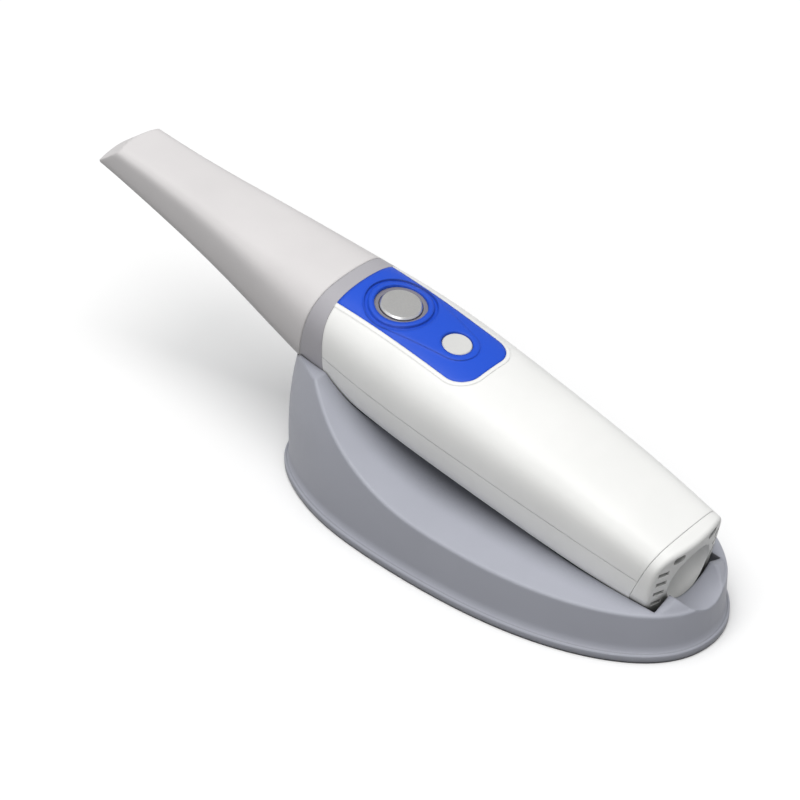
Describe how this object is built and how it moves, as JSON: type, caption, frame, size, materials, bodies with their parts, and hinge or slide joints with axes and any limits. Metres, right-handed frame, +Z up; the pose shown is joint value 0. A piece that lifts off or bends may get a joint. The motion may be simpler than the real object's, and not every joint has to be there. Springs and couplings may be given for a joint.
{
  "type": "intraoral scanner",
  "caption": "Handheld dental scanner with a tapered pull-off tip, blue button panel and grey collar, lying in a boat-shaped desk cradle.",
  "frame": {"origin": "middle of the cradle's underside, on the surface that it stands on", "axes": "+X from the tip towards the wand's tail, +Y across, +Z up"},
  "size_m": [0.2521, 0.0802, 0.0817],
  "materials": {
    "shell_white": "fine matte",
    "tip_plastic": "fine matte",
    "collar_grey": "satin",
    "panel_blue": "satin",
    "button_metal": "bead-blasted with a turned chamfer",
    "board": "solder mask",
    "chip_black": "matte",
    "inner_black": "matte",
    "window_glass": "polished",
    "mirror": "polished",
    "screw_steel": "satin",
    "socket_metal": "satin",
    "bench_aluminium": "milled",
    "optics_black": "black anodised",
    "base_grey": "satin",
    "sole_rubber": "matte"
  },
  "bodies": {
    "scanner": {"upper_shell": "shell_white", "lower_shell": "shell_white", "tail_cap": "shell_white", "collar_ring": "collar_grey", "bezel_ring": "collar_grey", "button_panel": "panel_blue", "button_board": "board", "button_switches": "chip_black", "main_board": "board", "board_chips": "chip_black", "nose_tube": "inner_black", "socket_pins": "inner_black", "fan_frame": "inner_black", "nose_window": "window_glass", "front_lens": "window_glass", "cap_screws": "screw_steel", "base_screws": "screw_steel", "cable_socket": "socket_metal", "optics_bench": "bench_aluminium", "heat_sink": "bench_aluminium", "light_engine": "optics_black", "imaging_barrel": "optics_black", "base_body": "base_grey", "base_plate": "base_grey", "base_sole": "sole_rubber"},
    "tip": {"tip_sleeve": "tip_plastic", "tip_mirror": "mirror"},
    "scan_key": {"scan_button": "button_metal"},
    "mode_key": {"mode_button": "shell_white"},
    "fan_wheel": {"fan_rotor": "inner_black"}
  },
  "joints": [
    {"name": "tip_slide", "type": "slide", "parent": "scanner", "child": "tip", "axis": [-0.9833, 0, 0.1822], "range_m": [0, 0.08]},
    {"name": "scan_press", "type": "slide", "parent": "scanner", "child": "scan_key", "axis": [-0.1822, 0, -0.9833], "range_m": [0, 0.0008], "stiffness_N_per_m": 2000},
    {"name": "mode_press", "type": "slide", "parent": "scanner", "child": "mode_key", "axis": [-0.1822, 0, -0.9833], "range_m": [0, 0.0006], "stiffness_N_per_m": 2000},
    {"name": "fan_spin", "type": "hinge", "parent": "scanner", "child": "fan_wheel", "pos_m": [0.04269, 0, 0.02925], "axis": [-0.9833, 0, 0.1822], "continuous": true}
  ]
}
